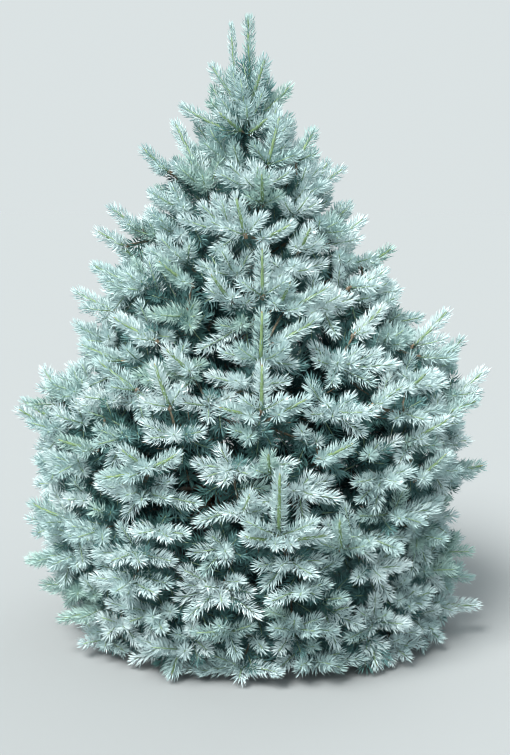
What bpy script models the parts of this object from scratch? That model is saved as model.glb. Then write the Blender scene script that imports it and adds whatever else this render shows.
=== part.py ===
"""Potted blue spruce: a young broad spruce in a plain round tub.

Metres, +Z up. The origin is the middle of the tub's flat underside. +X is to the
right and -Y is the front. The crown is laid out in tiers of boughs. A point of the
crown has three crown coordinates: its azimuth, its tier height t (whole numbers are
the edges between tiers) and its reach s, 0 on the trunk and 1 on the crown surface.
"""

import math

import bmesh
import bpy
from mathutils import Vector, noise

# ---------------------------------------------------------------- driving sizes
TREE_TOP = 1.450            # tip of the leader
SECOND_LEADER_FOOT = 1.240  # where the rival leader leaves the trunk
LEADER_NEEDLES_FOOT = 1.264
TUB_HEIGHT = 0.315
TUB_FOOT_R = 0.158          # outer radius at the underside
TUB_TOP_R = 0.196           # outer radius under the rolled rim
TUB_RIM_R = 0.208
TUB_RIM_H = 0.036
TUB_WALL = 0.007
TUB_FLOOR = 0.010
TUB_SIDES = 44
SOIL_TOP = 0.288            # flat seat of the trunk, in the middle of the compost
SOIL_EDGE_DROP = 0.008
SOIL_SEAT_R = 0.058
GAP = 0.0004                # between pieces that touch

TRUNK_FOOT_R = 0.0235
TRUNK_TIP_R = 0.0024
TRUNK_FLARE = 0.013
TRUNK_FLARE_H = 0.030
TRUNK_SIDES = 12
TRUNK_RINGS = 20

# Tier edges, from the hem of the skirt to the shoulder under the leader.
EDGE_ON_TRUNK = (0.330, 0.372, 0.438, 0.520, 0.632, 0.775, 0.940, 1.215)
EDGE_ON_CROWN = (0.012, 0.215, 0.395, 0.575, 0.765, 0.960, 1.150, 1.335)

# Crown radius at these heights, to the right, back, left and front.
CROWN_Z = (0.00, 0.10, 0.20, 0.30, 0.40, 0.50, 0.60, 0.68, 0.78, 0.88, 1.00, 1.10, 1.20, 1.28, 1.35)
CROWN_R = {
    0: (.492, .508, .494, .490, .515, .508, .515, .455, .368, .286, .192, .160, .108, .062, .040),
    90: (.430, .468, .490, .495, .492, .485, .465, .425, .365, .305, .238, .182, .120, .070, .042),
    180: (.430, .478, .515, .520, .512, .520, .478, .390, .375, .325, .258, .192, .124, .078, .046),
    270: (.375, .420, .458, .470, .475, .470, .448, .410, .352, .298, .235, .178, .116, .068, .040),
}

# name, masses in the tier, azimuth of the first, radius of the bare space round the
# trunk, bough radius at the trunk. The top tier's foliage closes round the trunk and
# has no bare bough.
TIERS = (
    ("skirt", 5, -91.0, 0.231, 0.0075),
    ("lower", 5, -72.0, 0.231, 0.0085),
    ("middle", 5, -102.0, 0.150, 0.0080),
    ("shoulder", 4, -62.0, 0.105, 0.0072),
    ("upper", 3, -100.0, 0.072, 0.0062),
    ("neck", 3, -64.0, 0.044, 0.0052),
    ("top", 3, -98.0, 0.0, 0.0),
)
WAVE = 0.040                # rise and fall of the tiers round the crown
TWIST = 16.0                # slant of the sides between masses, degrees per tier
HANG_START = 0.215          # radius where the hem's boughs begin to hang
SECTOR_GAP = 0.007          # between neighbouring masses, across
TIER_GAP = 0.028            # the same up and down, as a share of a tier
ROUNDING = 10.0             # higher is fuller at a mass's corners
TIP_OUT = 0.036             # how far shoot tips stand out of a mass
DIP_IN = 0.030              # how far the surface dips between them
MASS_GRID = (6, 4, 3)       # facets across, up and outwards

# Leading shoots that stand out of the outline: azimuth, height, extra reach.
LEADING_TIPS = (
    (181, 1.250, 0.025), (178, 1.153, 0.075), (183, 1.023, 0.072), (177, 0.884, 0.045),
    (184, 0.820, 0.065), (178, 0.750, 0.035), (182, 0.633, 0.050), (179, 0.545, 0.058),
    (181, 0.310, 0.052), (178, 0.156, 0.045), (-2, 1.200, 0.042), (3, 1.110, 0.050),
    (-4, 0.990, 0.062), (2, 0.918, 0.065), (-3, 0.772, 0.085), (4, 0.680, 0.034),
    (-1, 0.625, 0.050), (3, 0.560, 0.044), (-3, 0.430, 0.034), (2, 0.360, 0.044),
    (-4, 0.156, 0.036), (3, 0.045, 0.048),
)


# ------------------------------------------------------------- crown coordinates
def clamp(x, low=0.0, high=1.0):
    return min(max(x, low), high)


def on_line(x, xs, ys):
    """Straight-line reading of a short table."""
    if x <= xs[0]:
        return ys[0]
    for a, b, p, q in zip(xs, xs[1:], ys, ys[1:]):
        if x <= b:
            return p + (q - p) * (x - a) / (b - a)
    return ys[-1]


def crown_radius(azimuth, z):
    """Radius of the crown surface without its leading shoots."""
    total = 0.0
    for middle, radii in CROWN_R.items():
        off = (azimuth - middle + 180.0) % 360.0 - 180.0
        if abs(off) < 90.0:
            total += math.cos(math.radians(off)) ** 2 * on_line(z, CROWN_Z, radii)
    return total


def edge(t, heights):
    return on_line(t, tuple(range(len(heights))), heights)


def wave(azimuth, t):
    """How far the tiers rise and fall round the crown, in metres at its surface."""
    a = math.radians(azimuth)
    last = len(EDGE_ON_CROWN) - 1
    heights = [
        0.62 * math.sin(2.0 * a + 2.1 * k + 0.4) + 0.38 * math.sin(5.0 * a + 1.3 * k * k)
        for k in range(last + 1)
    ]
    heights[0] = heights[last] = 0.0
    return WAVE * edge(t, heights) * min(1.0, (last - t) / 2.5)


def sweep(t, s, radius):
    """Share of a bough's rise or droop that it has made at reach s.

    The skirt's boughs run level over the tub's rim before they hang."""
    start = HANG_START * clamp((3.0 - t) / 2.0) / radius
    end = 0.86 + 0.14 * clamp(t / 2.0)
    u = clamp((s - start) / (end - start))
    mix = clamp((t - 1.0) / 2.0)
    return (1.0 - mix) * u * u * (3.0 - 2.0 * u) + mix * s


def trunk_axis(z):
    """The trunk's own line: a slight lean and two gentle bends."""
    u = (z - SOIL_TOP) / (TREE_TOP - SOIL_TOP)
    return Vector((
        0.007 * math.sin(2.6 * u) - 0.008 * u * u,
        0.006 * math.sin(3.4 * u),
        z,
    ))


def crown_point(azimuth, t, s, extra=0.0):
    """The point with these crown coordinates, extra metres further along the bough."""
    on_trunk = edge(t, EDGE_ON_TRUNK)
    on_crown = edge(t, EDGE_ON_CROWN) + wave(azimuth, t)
    full = crown_radius(azimuth, on_crown)
    slope = (on_crown - on_trunk) / full * clamp((t - 1.0) / 2.0)
    along = math.hypot(1.0, slope)
    radius = full * s + extra / along
    z = on_trunk + (on_crown - on_trunk) * sweep(t, s, full) + extra * slope / along
    a = math.radians(azimuth)
    axis = trunk_axis(on_trunk)
    fade = clamp(1.0 - s)
    return Vector((
        radius * math.cos(a) + axis.x * fade,
        radius * math.sin(a) + axis.y * fade,
        z,
    ))


# ------------------------------------------------------------------- small helpers
def clear_scene():
    for obj in list(bpy.data.objects):
        bpy.data.objects.remove(obj)


def material(name, colour, roughness, metallic=0.0):
    made = bpy.data.materials.new(name)
    made.use_nodes = True
    shader = made.node_tree.nodes["Principled BSDF"]
    shader.inputs["Base Color"].default_value = (*colour, 1.0)
    shader.inputs["Roughness"].default_value = roughness
    shader.inputs["Metallic"].default_value = metallic
    return made


def object_from(bm, name, look, parent, smooth=True):
    bmesh.ops.recalc_face_normals(bm, faces=bm.faces)
    mesh = bpy.data.meshes.new(name)
    bm.to_mesh(mesh)
    bm.free()
    if smooth:
        mesh.shade_smooth()
        mesh.set_sharp_from_angle(angle=math.radians(38.0))
    mesh.materials.append(look)
    made = bpy.data.objects.new(name, mesh)
    bpy.context.scene.collection.objects.link(made)
    made.parent = parent
    return made


def turned(name, profile, sides, look, parent):
    """A solid of revolution round +Z. The profile runs from axis to axis."""
    bm = bmesh.new()
    points = [bm.verts.new((r, 0.0, z)) for r, z in profile]
    lines = [bm.edges.new(pair) for pair in zip(points, points[1:])]
    bmesh.ops.spin(
        bm, geom=points + lines, cent=(0, 0, 0), axis=(0, 0, 1),
        angle=math.tau, steps=sides, use_merge=True,
    )
    bmesh.ops.remove_doubles(bm, verts=bm.verts, dist=1e-5)
    return object_from(bm, name, look, parent)


def lofted(name, rings, look, parent):
    """A closed skin over rings of equal count, with flat ends."""
    bm = bmesh.new()
    loops = [[bm.verts.new(p) for p in ring] for ring in rings]
    for low, high in zip(loops, loops[1:]):
        for i in range(len(low)):
            j = (i + 1) % len(low)
            bm.faces.new((low[i], low[j], high[j], high[i]))
    bm.faces.new(list(reversed(loops[0])))
    bm.faces.new(loops[-1])
    return object_from(bm, name, look, parent)


def limb(name, points, radii, look, parent):
    """A tapering round limb: a poly curve with a bevel and filled ends."""
    curve = bpy.data.curves.new(name, "CURVE")
    curve.dimensions = "3D"
    curve.bevel_depth = 1.0
    curve.bevel_resolution = 1
    curve.use_fill_caps = True
    spline = curve.splines.new("POLY")
    spline.points.add(len(points) - 1)
    for at, point, radius in zip(spline.points, points, radii):
        at.co = (*point, 1.0)
        at.radius = radius
    curve.materials.append(look)
    made = bpy.data.objects.new(name, curve)
    bpy.context.scene.collection.objects.link(made)
    made.parent = parent
    return made


# ---------------------------------------------------------------------- the pieces
def make_tub(look, parent):
    top, foot, wall = TUB_TOP_R, TUB_FOOT_R, TUB_WALL
    under_rim = TUB_HEIGHT - TUB_RIM_H
    lean = (top - foot) / under_rim
    profile = [
        (0.0, 0.0),
        (foot - 0.004, 0.0),
        (foot, 0.004),
        (top, under_rim),
        (TUB_RIM_R, under_rim + 0.004),
        (TUB_RIM_R, TUB_HEIGHT - 0.004),
        (TUB_RIM_R - 0.004, TUB_HEIGHT),
        (top - wall - 0.001, TUB_HEIGHT),
        (top - wall, TUB_HEIGHT - 0.003),
        (foot - wall + lean * TUB_FLOOR, TUB_FLOOR),
        (0.0, TUB_FLOOR),
    ]
    return turned("tub", profile, TUB_SIDES, look, parent)


def make_compost(look, parent):
    lean = (TUB_TOP_R - TUB_FOOT_R) / (TUB_HEIGHT - TUB_RIM_H)
    low_r = TUB_FOOT_R - TUB_WALL + lean * TUB_FLOOR - 3 * GAP
    high_z = SOIL_TOP - SOIL_EDGE_DROP
    inner = (TUB_TOP_R - TUB_WALL - low_r) / (TUB_HEIGHT - 0.003 - TUB_FLOOR)
    high_r = low_r + inner * (high_z - TUB_FLOOR) - 3 * GAP
    profile = [
        (0.0, TUB_FLOOR + GAP),
        (low_r, TUB_FLOOR + GAP),
        (high_r, high_z),
        (SOIL_SEAT_R, SOIL_TOP),
        (0.0, SOIL_TOP),
    ]
    return turned("compost", profile, TUB_SIDES, look, parent)


def trunk_radius(z):
    u = (z - SOIL_TOP) / (TREE_TOP - SOIL_TOP)
    return TRUNK_TIP_R + (TRUNK_FOOT_R - TRUNK_TIP_R) * (1.0 - u) ** 0.85


def make_trunk(look, parent):
    """From its flat cut on the compost, through the crown, to the leader's tip."""
    low, high = SOIL_TOP + GAP, TREE_TOP - 0.004
    rings = []
    for k in range(TRUNK_RINGS + 1):
        z = low + (high - low) * (k / TRUNK_RINGS) ** 1.25
        middle, radius = trunk_axis(z), trunk_radius(z)
        flare = TRUNK_FLARE * math.exp(-(z - low) / TRUNK_FLARE_H)
        ring = []
        for i in range(TRUNK_SIDES):
            a = math.tau * i / TRUNK_SIDES
            r = radius + flare * (0.62 + 0.38 * math.cos(4.0 * a + 0.7))
            ring.append(middle + Vector((r * math.cos(a), r * math.sin(a), 0.0)))
        rings.append(ring)
    return lofted("trunk", rings, look, parent)


def extra_reach(azimuth, t, tips):
    """How far the leading shoots lift the surface here."""
    z = edge(t, EDGE_ON_CROWN) + wave(azimuth, t)
    radius = crown_radius(azimuth, z)
    most = 0.0
    for tip_azimuth, tip_z, out in tips:
        across = math.radians((azimuth - tip_azimuth + 180.0) % 360.0 - 180.0) * radius
        far = math.hypot(across, z - tip_z) / 0.052
        most = max(most, out * math.exp(-far * far))
    return most


def make_mass(name, azimuth, width, tier, bare, seed, look, parent):
    """One bough's foliage: a closed lump of its own shape that fills its cell of
    the crown, rounded where it faces its neighbours, with tips that stand out."""
    across, up, out = MASS_GRID
    bm = bmesh.new()
    made = {}

    def corner(i, j, k):
        if (i, j, k) in made:
            return made[i, j, k]
        p = Vector((2.0 * i / across - 1.0, 2.0 * j / up - 1.0, 2.0 * k / out - 1.0))
        longest = max(abs(p.x), abs(p.y), abs(p.z))
        rounded = sum(abs(x) ** ROUNDING for x in p) ** (1.0 / ROUNDING)
        p *= longest / rounded
        chance = noise.cell_vector(Vector((i + 11.5, j + 7.5 * seed, k + 3.5)))
        middle_r = crown_radius(azimuth, edge(tier + 0.5 + 0.5 * p.y, EDGE_ON_CROWN))
        start = max(bare, trunk_radius(EDGE_ON_TRUNK[tier]) + 0.004) / middle_r
        s = start + (1.0 - start) * (p.z + 1.0) / 2.0
        pinch = 1.0 - 0.022 * chance.y
        half = math.radians(width) / 2.0 - SECTOR_GAP / 2.0 / max(s * middle_r, 0.012)
        here = azimuth + math.degrees(max(half, 0.25 * math.radians(width))) * p.x * pinch
        t_here = tier + 0.5 + p.y * (0.5 - TIER_GAP) * (1.0 - 0.06 * chance.z)
        here += TWIST * (t_here - tier - 0.5) * (1.0 if tier % 2 else -1.0)
        local_r = crown_radius(here, edge(t_here, EDGE_ON_CROWN) + wave(here, t_here))
        s = (start * middle_r) / local_r
        s += (1.0 - s) * (p.z + 1.0) / 2.0
        outer = clamp((p.z - 0.5) / 0.45)
        ragged = (TIP_OUT + DIP_IN) * chance.x ** 1.3 - DIP_IN
        ragged *= clamp(middle_r / 0.34, 0.3, 1.0)
        reach = outer * (ragged + extra_reach(here, t_here, LEADING_TIPS))
        made[i, j, k] = bm.verts.new(crown_point(here, t_here, s, reach))
        return made[i, j, k]

    def side(n, m, at):
        for a in range(n):
            for b in range(m):
                bm.faces.new((at(a, b), at(a + 1, b), at(a + 1, b + 1), at(a, b + 1)))

    side(across, up, lambda a, b: corner(a, b, 0))
    side(across, up, lambda a, b: corner(a, b, out))
    side(across, out, lambda a, b: corner(a, 0, b))
    side(across, out, lambda a, b: corner(a, up, b))
    side(up, out, lambda a, b: corner(0, a, b))
    side(up, out, lambda a, b: corner(across, a, b))
    return object_from(bm, name, look, parent, smooth=False)


def make_bough(name, azimuth, tier, bare, radius, mass, look, parent):
    """One tapering limb, from the trunk's side to where it enters its mass.

    It leaves the trunk square, so that its end lies flat against the bark."""
    t = tier + 0.5
    on_trunk = edge(t, EDGE_ON_TRUNK)
    full = crown_radius(azimuth, edge(t, EDGE_ON_CROWN) + wave(azimuth, t))
    low = on_trunk - radius
    side = trunk_radius(low) + TRUNK_FLARE * math.exp((SOIL_TOP - low) / TRUNK_FLARE_H)
    middle = trunk_axis(on_trunk)
    a = math.radians(azimuth)
    outwards = Vector((math.cos(a), math.sin(a), 0.0))
    points = [middle + outwards * (side + 0.0008), middle + outwards * (side + 0.0008 + radius)]
    depth = min((v.co - middle).xy.length for v in mass.data.vertices)
    s_first = (side + 0.0008 + 2.2 * radius) / full
    s_last = max((min(bare, depth) - 0.004) / full, s_first + 0.006 / full)
    for k in range(4):
        points.append(crown_point(azimuth, t, s_first + (s_last - s_first) * k / 3.0))
    radii = [radius * (1.0 - 0.38 * k / 5.0) for k in range(6)]
    return limb(name, points, radii, look, parent)


def make_leader(look, parent):
    """The leader's needles: a slender sleeve round the top of the trunk."""
    low, high, sides = LEADER_NEEDLES_FOOT, TREE_TOP, 10
    heights = (0.0, 0.12, 0.5, 0.85, 0.96, 1.0)
    spread = (0.0060, 0.0165, 0.0150, 0.0125, 0.0100, 0.0045)
    bm = bmesh.new()
    outside, inside = [], []
    for u, r in zip(heights, spread):
        z = low + (high - low) * u
        middle = trunk_axis(z)
        hole = trunk_radius(z) + 0.0006
        outside.append([bm.verts.new(middle + Vector((max(r, hole + 0.0008) * math.cos(a), max(r, hole + 0.0008) * math.sin(a), 0)))
                        for a in (math.tau * i / sides for i in range(sides))])
        inside.append([bm.verts.new(middle + Vector((hole * math.cos(a), hole * math.sin(a), 0)))
                       for a in (math.tau * i / sides for i in range(sides))])
    for skin in (outside, inside):
        for a, b in zip(skin, skin[1:]):
            for i in range(sides):
                j = (i + 1) % sides
                bm.faces.new((a[i], a[j], b[j], b[i]))
    for a, b in ((outside[0], inside[0]), (outside[-1], inside[-1])):
        for i in range(sides):
            j = (i + 1) % sides
            bm.faces.new((a[i], a[j], b[j], b[i]))
    return object_from(bm, "leader_needles", look, parent, smooth=False)


def make_second_leader(bark, needles, parent):
    """The rival leader that stands close beside the first: its stem, then its needles."""
    base = trunk_axis(SECOND_LEADER_FOOT)
    start = trunk_radius(SECOND_LEADER_FOOT) + 0.0016
    stem = [base + Vector(p) for p in (
        (-start, 0.0, 0.0), (-start - 0.007, 0.001, 0.004), (-0.022, 0.003, 0.022),
        (-0.030, 0.004, 0.044), (-0.032, 0.005, 0.058),
    )]
    limb("second_leader_stem", stem, (0.0030, 0.0029, 0.0027, 0.0025, 0.0023), bark, parent)
    spindle = [base + Vector(p) for p in (
        (-0.032, 0.005, 0.0585), (-0.032, 0.005, 0.066), (-0.036, 0.006, 0.110),
        (-0.040, 0.007, 0.160), (-0.042, 0.008, 0.184), (-0.043, 0.008, 0.193),
    )]
    limb("second_leader_needles", spindle, (0.0050, 0.0120, 0.0125, 0.0110, 0.0080, 0.0030),
         needles, parent)


def main():
    clear_scene()
    bark = material("spruce bark", (0.20, 0.13, 0.09), 0.85)
    needles = material("blue needles", (0.34, 0.47, 0.47), 0.55)
    plastic = material("charcoal tub", (0.035, 0.037, 0.040), 0.55)
    earth = material("bark compost", (0.075, 0.042, 0.028), 0.95)

    root = bpy.data.objects.new("potted_blue_spruce", None)
    bpy.context.scene.collection.objects.link(root)

    make_tub(plastic, root)
    make_compost(earth, root)
    make_trunk(bark, root)
    seed = 0
    for tier, (tier_name, count, first, bare, radius) in enumerate(TIERS):
        width = 360.0 / count
        for i in range(count):
            seed += 1
            azimuth = first + width * i
            mass = make_mass(
                f"{tier_name}_foliage_{i + 1}", azimuth, width, tier, bare, seed,
                needles, root,
            )
            if radius:
                make_bough(
                    f"{tier_name}_bough_{i + 1}", azimuth, tier, bare, radius, mass,
                    bark, root,
                )
    make_leader(needles, root)
    make_second_leader(bark, needles, root)


main()
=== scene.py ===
"""Potted blue spruce, dressed: bark, twigs, needles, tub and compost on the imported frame.

Metres, +Z up, origin in the middle of the tub's underside, front towards -Y. The crown's
own coordinates are those of the part: azimuth, tier height t and reach s. Each mass of
needles of the part is replaced by a bough that forks again and again, one node a year,
until its last shoots reach the crown's surface.
"""

import math

import bpy
import numpy as np
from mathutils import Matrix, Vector, kdtree, noise


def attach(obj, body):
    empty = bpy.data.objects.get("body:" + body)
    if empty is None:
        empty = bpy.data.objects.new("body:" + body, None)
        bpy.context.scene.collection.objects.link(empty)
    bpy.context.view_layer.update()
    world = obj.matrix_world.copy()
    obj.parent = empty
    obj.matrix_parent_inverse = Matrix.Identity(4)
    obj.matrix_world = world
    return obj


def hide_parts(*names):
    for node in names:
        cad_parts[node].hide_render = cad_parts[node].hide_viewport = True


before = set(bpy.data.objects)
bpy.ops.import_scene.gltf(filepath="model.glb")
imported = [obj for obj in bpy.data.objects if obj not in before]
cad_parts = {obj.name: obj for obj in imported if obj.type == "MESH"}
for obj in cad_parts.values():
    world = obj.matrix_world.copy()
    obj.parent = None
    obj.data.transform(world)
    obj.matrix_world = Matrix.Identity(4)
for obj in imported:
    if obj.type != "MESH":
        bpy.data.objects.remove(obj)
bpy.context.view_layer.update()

SEED = 20
RNG = np.random.default_rng(SEED)
UP = np.array((0.0, 0.0, 1.0))

# ------------------------------------------------------------------ sizes of the part
TREE_TOP = 1.450
SOIL_TOP = 0.288
SOIL_EDGE_DROP = 0.008
TUB_HEIGHT, TUB_FOOT_R, TUB_TOP_R, TUB_RIM_R = 0.315, 0.158, 0.196, 0.208
TUB_RIM_H, TUB_WALL, TUB_FLOOR = 0.036, 0.007, 0.010
TRUNK_FOOT_R, TRUNK_TIP_R = 0.0235, 0.0024
TRUNK_FLARE, TRUNK_FLARE_H = 0.013, 0.030
SECOND_LEADER_FOOT = 1.240

EDGE_ON_TRUNK = (0.330, 0.372, 0.438, 0.520, 0.632, 0.775, 0.940, 1.215)
EDGE_ON_CROWN = (0.012, 0.215, 0.395, 0.575, 0.765, 0.960, 1.150, 1.335)
CROWN_Z = (0.00, 0.10, 0.20, 0.30, 0.40, 0.50, 0.60, 0.68, 0.78, 0.88, 1.00, 1.10, 1.20, 1.28, 1.35)
CROWN_R = {
    0: (.492, .508, .494, .490, .515, .508, .515, .455, .368, .286, .192, .160, .108, .062, .040),
    90: (.430, .468, .490, .495, .492, .485, .465, .425, .365, .305, .238, .182, .120, .070, .042),
    180: (.430, .478, .515, .520, .512, .520, .478, .390, .375, .325, .258, .192, .124, .078, .046),
    270: (.375, .420, .458, .470, .475, .470, .448, .410, .352, .298, .235, .178, .116, .068, .040),
}
# name, masses, azimuth of the first, bare radius, bough radius
TIERS = (
    ("skirt", 5, -91.0, 0.231, 0.0075),
    ("lower", 5, -72.0, 0.231, 0.0085),
    ("middle", 5, -102.0, 0.150, 0.0080),
    ("shoulder", 4, -62.0, 0.105, 0.0072),
    ("upper", 3, -100.0, 0.072, 0.0062),
    ("neck", 3, -64.0, 0.044, 0.0052),
    ("top", 3, -98.0, 0.0, 0.0),
)
WAVE, TWIST, HANG_START = 0.040, 16.0, 0.215

# ------------------------------------------------------------------- sizes of the dress
SHOOT_SPACING = ((0.0, 0.0455), (5.0, 0.0445), (6.0, 0.0425), (7.0, 0.0425))  # by tier height
YEAR = 0.076                # one year's growth along a bough
LAST_NODE = 0.046           # how deep the outermost forks lie
NEEDLE = 0.0240             # length of a needle
NEEDLE_WIDTH = 0.0027       # where it is widest
INNER_WIDTH = 0.0026        # the same, inside the crown
NEEDLES_PER_M = 2000.0      # on this year's shoots
INNER_PER_M = 2400.0        # the same, inside the crown, before they thin with age
SPREAD = (74, 70, 64, 54, 30)  # degrees between needle and stem, from foot to tip
CURL = 20.0
FRONT_LIMIT, BACK_LIMIT = -0.524, 0.540
LUMP = 0.020                # how far one big spray stands in front of the next
MOST_TRIANGLES = 195_000    # in one piece


# ------------------------------------------------------------- crown coordinates
def edge(t, heights):
    return np.interp(t, np.arange(len(heights)), heights)


def wave(azimuth, t):
    a = np.radians(azimuth)
    last = len(EDGE_ON_CROWN) - 1
    k = np.arange(last + 1)
    rows = 0.62 * np.sin(2.0 * np.asarray(a)[..., None] + 2.1 * k + 0.4)
    rows = rows + 0.38 * np.sin(5.0 * np.asarray(a)[..., None] + 1.3 * k * k)
    rows[..., 0] = 0.0
    rows[..., last] = 0.0
    t = np.clip(t, 0.0, last)
    low = np.minimum(np.floor(t).astype(int), last - 1)
    part = t - low
    first = np.take_along_axis(rows, np.asarray(low)[..., None], -1)[..., 0]
    second = np.take_along_axis(rows, np.asarray(low + 1)[..., None], -1)[..., 0]
    return WAVE * (first * (1 - part) + second * part) * np.minimum(1.0, (last - t) / 2.5)


def crown_radius(azimuth, z):
    total = 0.0
    for middle, radii in CROWN_R.items():
        off = (np.asarray(azimuth) - middle + 180.0) % 360.0 - 180.0
        share = np.where(np.abs(off) < 90.0, np.cos(np.radians(off)) ** 2, 0.0)
        total = total + share * np.interp(z, CROWN_Z, radii)
    return total


def sweep(t, s, radius):
    start = HANG_START * np.clip((3.0 - t) / 2.0, 0.0, 1.0) / radius
    end = 0.86 + 0.14 * np.clip(t / 2.0, 0.0, 1.0)
    u = np.clip((s - start) / (end - start), 0.0, 1.0)
    mix = np.clip((t - 1.0) / 2.0, 0.0, 1.0)
    return (1.0 - mix) * u * u * (3.0 - 2.0 * u) + mix * s


def trunk_axis(z):
    u = (np.asarray(z, float) - SOIL_TOP) / (TREE_TOP - SOIL_TOP)
    return np.stack((0.007 * np.sin(2.6 * u) - 0.008 * u * u, 0.006 * np.sin(3.4 * u),
                     np.asarray(z, float)), -1)


def trunk_radius(z):
    u = np.clip((np.asarray(z, float) - SOIL_TOP) / (TREE_TOP - SOIL_TOP), 0.0, 1.0)
    return TRUNK_TIP_R + (TRUNK_FOOT_R - TRUNK_TIP_R) * (1.0 - u) ** 0.85


def surface_of(azimuth, t):
    """Height and radius of the crown surface at these coordinates."""
    z = edge(t, EDGE_ON_CROWN) + wave(azimuth, t)
    return z, crown_radius(azimuth, z)


def crown_point(azimuth, t, s, extra=0.0):
    azimuth, t, s = np.broadcast_arrays(
        np.asarray(azimuth, float), np.asarray(t, float), np.asarray(s, float))
    on_trunk = edge(t, EDGE_ON_TRUNK)
    on_crown, full = surface_of(azimuth, t)
    slope = (on_crown - on_trunk) / full * np.clip((t - 1.0) / 2.0, 0.0, 1.0)
    along = np.hypot(1.0, slope)
    radius = full * s + extra / along
    z = on_trunk + (on_crown - on_trunk) * sweep(t, s, full) + extra * slope / along
    a = np.radians(azimuth)
    axis = trunk_axis(on_trunk)
    fade = np.clip(1.0 - s, 0.0, 1.0)
    return np.stack((radius * np.cos(a) + axis[..., 0] * fade,
                     radius * np.sin(a) + axis[..., 1] * fade, z), -1)


def unit(v):
    return v / np.maximum(np.linalg.norm(v, axis=-1, keepdims=True), 1e-9)


# ------------------------------------------------------------------------ materials
def srgb(*levels):
    """Linear colour of three 0 to 255 display levels."""
    made = []
    for level in levels:
        c = level / 255.0
        made.append(c / 12.92 if c <= 0.04045 else ((c + 0.055) / 1.055) ** 2.4)
    return tuple(made)


def shader_of(name):
    made = bpy.data.materials.new(name)
    made.use_nodes = True
    return made, made.node_tree.nodes, made.node_tree.links, made.node_tree.nodes["Principled BSDF"]


def needle_material(name, colour):
    """A needle's waxy skin in one plain colour."""
    made, nodes, links, shader = shader_of(name)
    shader.inputs["Base Color"].default_value = (*colour, 1.0)
    shader.inputs["Roughness"].default_value = 0.55
    shader.inputs["Specular IOR Level"].default_value = 0.18
    return made


def bark_material(name, dark, light, scale, roughness=0.85, relief=0.35):
    """Scaly bark: two tones in stretched flakes, with fine relief."""
    made, nodes, links, shader = shader_of(name)
    where = nodes.new("ShaderNodeTexCoord")
    stretch = nodes.new("ShaderNodeMapping")
    stretch.inputs["Scale"].default_value = (1.0, 1.0, 0.45)
    links.new(where.outputs["Object"], stretch.inputs["Vector"])
    flakes = nodes.new("ShaderNodeTexVoronoi")
    flakes.inputs["Scale"].default_value = scale
    links.new(stretch.outputs["Vector"], flakes.inputs["Vector"])
    grain = nodes.new("ShaderNodeTexNoise")
    grain.inputs["Scale"].default_value = scale * 2.2
    grain.inputs["Detail"].default_value = 5.0
    links.new(stretch.outputs["Vector"], grain.inputs["Vector"])
    blend = nodes.new("ShaderNodeMix")
    blend.data_type = "FLOAT"
    blend.inputs["Factor"].default_value = 0.5
    links.new(flakes.outputs["Distance"], blend.inputs[2])
    links.new(grain.outputs["Fac"], blend.inputs[3])
    tone = nodes.new("ShaderNodeValToRGB")
    tone.color_ramp.elements[0].position = 0.30
    tone.color_ramp.elements[0].color = (*dark, 1.0)
    tone.color_ramp.elements[1].position = 0.62
    tone.color_ramp.elements[1].color = (*light, 1.0)
    links.new(blend.outputs[0], tone.inputs["Fac"])
    links.new(tone.outputs["Color"], shader.inputs["Base Color"])
    bump = nodes.new("ShaderNodeBump")
    bump.inputs["Strength"].default_value = relief
    bump.inputs["Distance"].default_value = 0.0015
    links.new(blend.outputs[0], bump.inputs["Height"])
    links.new(bump.outputs["Normal"], shader.inputs["Normal"])
    shader.inputs["Roughness"].default_value = roughness
    return made


def tub_material():
    """Moulded plastic: near black, with a fine grain and a little dust."""
    made, nodes, links, shader = shader_of("tub plastic")
    where = nodes.new("ShaderNodeTexCoord")
    dust = nodes.new("ShaderNodeTexNoise")
    dust.inputs["Scale"].default_value = 9.0
    dust.inputs["Detail"].default_value = 6.0
    links.new(where.outputs["Object"], dust.inputs["Vector"])
    tone = nodes.new("ShaderNodeValToRGB")
    tone.color_ramp.elements[0].position = 0.35
    tone.color_ramp.elements[0].color = (0.030, 0.032, 0.034, 1.0)
    tone.color_ramp.elements[1].position = 0.80
    tone.color_ramp.elements[1].color = (0.060, 0.060, 0.058, 1.0)
    links.new(dust.outputs["Fac"], tone.inputs["Fac"])
    links.new(tone.outputs["Color"], shader.inputs["Base Color"])
    rough = nodes.new("ShaderNodeMapRange")
    rough.inputs["To Min"].default_value = 0.42
    rough.inputs["To Max"].default_value = 0.62
    links.new(dust.outputs["Fac"], rough.inputs["Value"])
    links.new(rough.outputs["Result"], shader.inputs["Roughness"])
    grain = nodes.new("ShaderNodeTexNoise")
    grain.inputs["Scale"].default_value = 420.0
    links.new(where.outputs["Object"], grain.inputs["Vector"])
    bump = nodes.new("ShaderNodeBump")
    bump.inputs["Strength"].default_value = 0.12
    bump.inputs["Distance"].default_value = 0.0006
    links.new(grain.outputs["Fac"], bump.inputs["Height"])
    links.new(bump.outputs["Normal"], shader.inputs["Normal"])
    return made


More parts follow.
